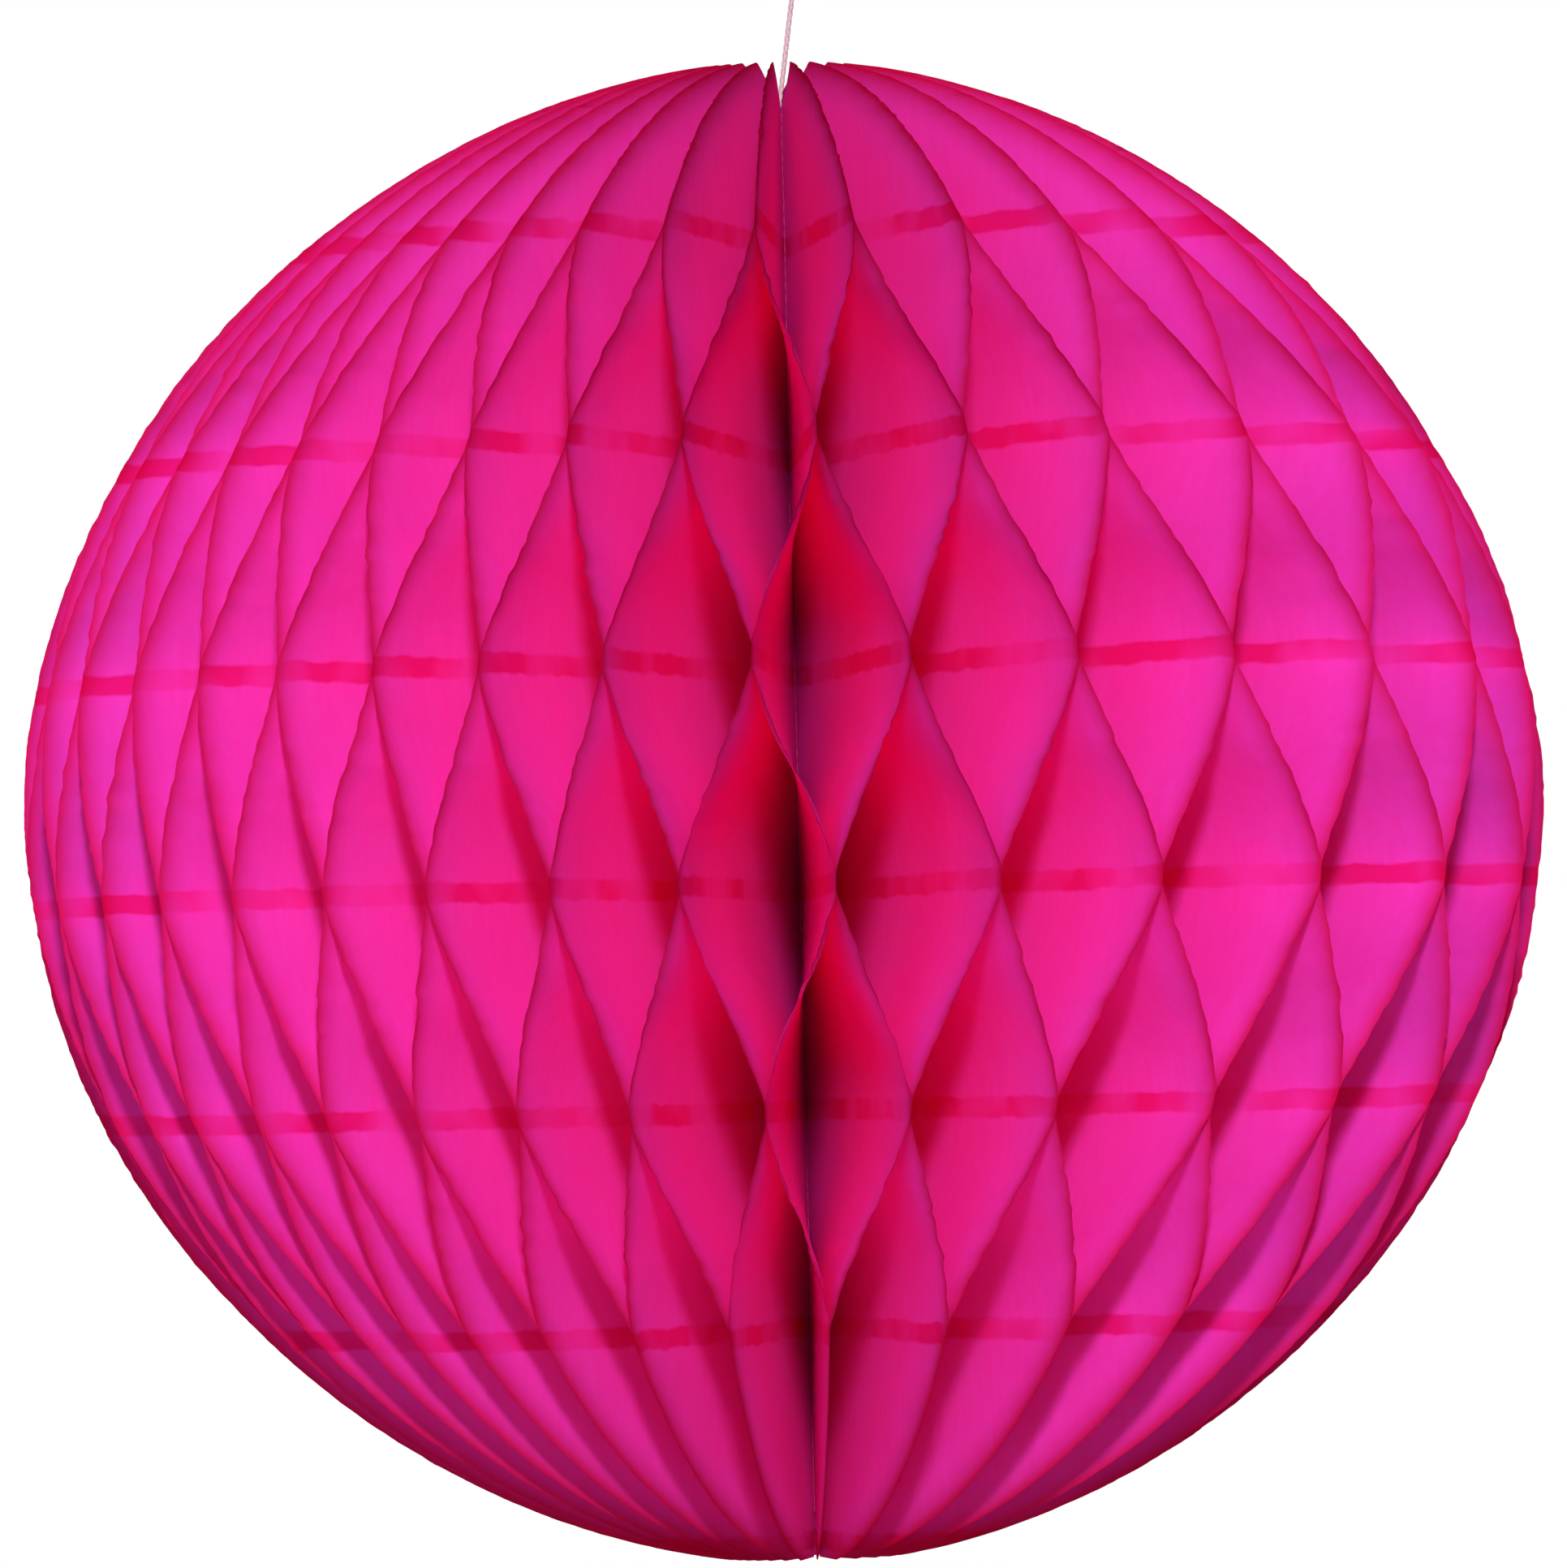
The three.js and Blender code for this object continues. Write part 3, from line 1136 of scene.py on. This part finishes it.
@dataclass(frozen=True)
class Lamp:
    """A soft square lamp that faces the ball, with its angles in degrees and its power in watts."""

    name: str
    azimuth: float
    elevation: float
    reach: float
    size: float
    power: float
    colour: tuple[float, float, float]

    def hang(self, centre: Vector) -> None:
        """Hangs the lamp.

        Args:
            centre: The middle of the ball.
        """
        data = bpy.data.lights.new(self.name, "AREA")
        data.size = self.size
        data.energy = self.power
        data.color = self.colour
        made = bpy.data.objects.new(self.name, data)
        bpy.context.scene.collection.objects.link(made)
        away = towards(math.radians(self.azimuth), math.radians(self.elevation))
        turn = away.to_track_quat("Z", "Y").to_matrix().to_4x4()
        made.matrix_world = Matrix.Translation(centre + away * self.reach) @ turn


@dataclass
class Studio:
    """Camera, lamps, floor and background."""

    ball: BallShape
    distance: float = 1.42
    elevation: float = math.radians(-1.4)
    roll: float = math.radians(-1.4)
    frame_width: float = 208.7 * MM
    sensor: float = 36.0
    aim: tuple[float, float] = (-1.6 * MM, 3.7 * MM)
    floor_drop: float = 0.45
    floor_size: float = 1.2
    floor_glow: float = 0.6
    floor_colour: Colour = (0.86, 0.86, 0.86, 1.0)
    floor_roughness: float = 0.9
    white: Colour = (1.0, 1.0, 1.0, 1.0)
    bounces: int = 20
    noise_limit: float = 0.1
    sky: float = 0.08
    ground: float = 0.0
    lamps: tuple[Lamp, ...] = (
        Lamp("key_lamp", 0.8, 14.5, 1.5, 0.1, 17.0, (1.0, 0.96, 0.95)),
        Lamp("front_lamp", -12.0, 3.0, 1.5, 0.9, 5.5, (0.95, 0.97, 1.0)),
        Lamp("top_lamp", -10.0, 50.0, 1.5, 0.6, 2.0, (1.0, 1.0, 1.0)),
        Lamp("left_back_lamp", -155.0, 14.0, 1.5, 0.5, 6.0, (1.0, 1.0, 1.0)),
        Lamp("right_back_lamp", 155.0, 14.0, 1.5, 0.5, 6.0, (1.0, 1.0, 1.0)),
    )

    def build(self) -> None:
        """Makes the whole studio."""
        scene = bpy.context.scene
        scene.view_settings.view_transform = "Standard"
        scene.cycles.diffuse_bounces = self.bounces
        scene.cycles.transmission_bounces = self.bounces
        scene.cycles.max_bounces = self.bounces
        scene.cycles.adaptive_threshold = self.noise_limit
        scene.cycles.use_light_tree = False
        self.make_camera(scene)
        self.make_world(scene)
        self.make_floor(scene)
        for lamp in self.lamps:
            lamp.hang(self.ball.centre)
        log.info("studio: camera, floor and lamps")

    def make_camera(self, scene: bpy.types.Scene) -> None:
        """Puts the camera where the ball is seen from.

        Args:
            scene: The scene.
        """
        data = bpy.data.cameras.new("camera")
        data.sensor_fit = "HORIZONTAL"
        data.sensor_width = self.sensor
        data.lens = self.sensor * self.distance / self.frame_width
        camera = bpy.data.objects.new("camera", data)
        scene.collection.objects.link(camera)
        back = towards(0.0, self.elevation)
        turn = back.to_track_quat("Z", "Y").to_matrix() @ Matrix.Rotation(self.roll, 3, "Z")
        aim = self.ball.centre + turn @ Vector((self.aim[0], self.aim[1], 0.0))
        camera.matrix_world = Matrix.Translation(aim + back * self.distance) @ turn.to_4x4()
        scene.camera = camera

    def make_world(self, scene: bpy.types.Scene) -> None:
        """White to the camera, and a soft light from above to the rest.

        Args:
            scene: The scene.
        """
        world = bpy.data.worlds.new("studio")
        world.use_nodes = True
        graph = Graph(world.node_tree)
        graph.tree.nodes.clear()
        path = graph.node("ShaderNodeLightPath")
        seen = Field(graph, path.outputs["Is Camera Ray"])
        direction = graph.node("ShaderNodeTexCoord").outputs["Generated"]
        up = graph.call("ShaderNodeSeparateXYZ", {"Vector": direction}, "Z")
        soft = (up * 0.5 + 0.5) * (self.sky - self.ground) + self.ground
        strength = seen * (1.0 - soft) + soft
        light = graph.node("ShaderNodeBackground")
        graph.feed(light.inputs["Color"], self.white)
        graph.feed(light.inputs["Strength"], strength)
        graph.feed(graph.node("ShaderNodeOutputWorld").inputs["Surface"], light.outputs[0])
        scene.world = world

    def make_floor(self, scene: bpy.types.Scene) -> None:
        """Lays a plain pale floor below the ball.

        Args:
            scene: The scene.
        """
        half = self.floor_size / 2
        drop = self.ball.centre.z - self.floor_drop
        corners = [(-half, -half, drop), (half, -half, drop), (half, half, drop), (-half, half, drop)]
        mesh = bpy.data.meshes.new("floor")
        mesh.from_pydata(corners, [], [(0, 1, 2, 3)])
        finish = Finish("pale_floor")
        finish.graph.feed(finish.shader.inputs["Base Color"], self.floor_colour)
        finish.graph.feed(finish.shader.inputs["Roughness"], self.floor_roughness)
        seen = Field(finish.graph, finish.graph.node("ShaderNodeLightPath").outputs["Is Camera Ray"])
        finish.graph.feed(finish.shader.inputs["Emission Color"], self.white)
        finish.graph.feed(finish.shader.inputs["Emission Strength"], seen * self.floor_glow)
        finish.graph.feed(finish.output.inputs["Surface"], finish.shader.outputs["BSDF"])
        mesh.materials.append(finish.material)
        floor = bpy.data.objects.new("floor", mesh)
        scene.collection.objects.link(floor)


def main() -> None:
    """Builds the studio and every piece of the ball."""
    logging.basicConfig(level=logging.INFO, format="%(message)s")
    low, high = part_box("spine_stitching")
    ball = BallShape(centre=(low + high) / 2)
    fibres = FibreGroup()
    Studio(ball).build()
    ThreadWork(ball).build(fibres)
    TissueFan(ball, TissueFinish()).build(fibres)
    Seam().build(fibres)


if __name__ == "__main__":
    main()
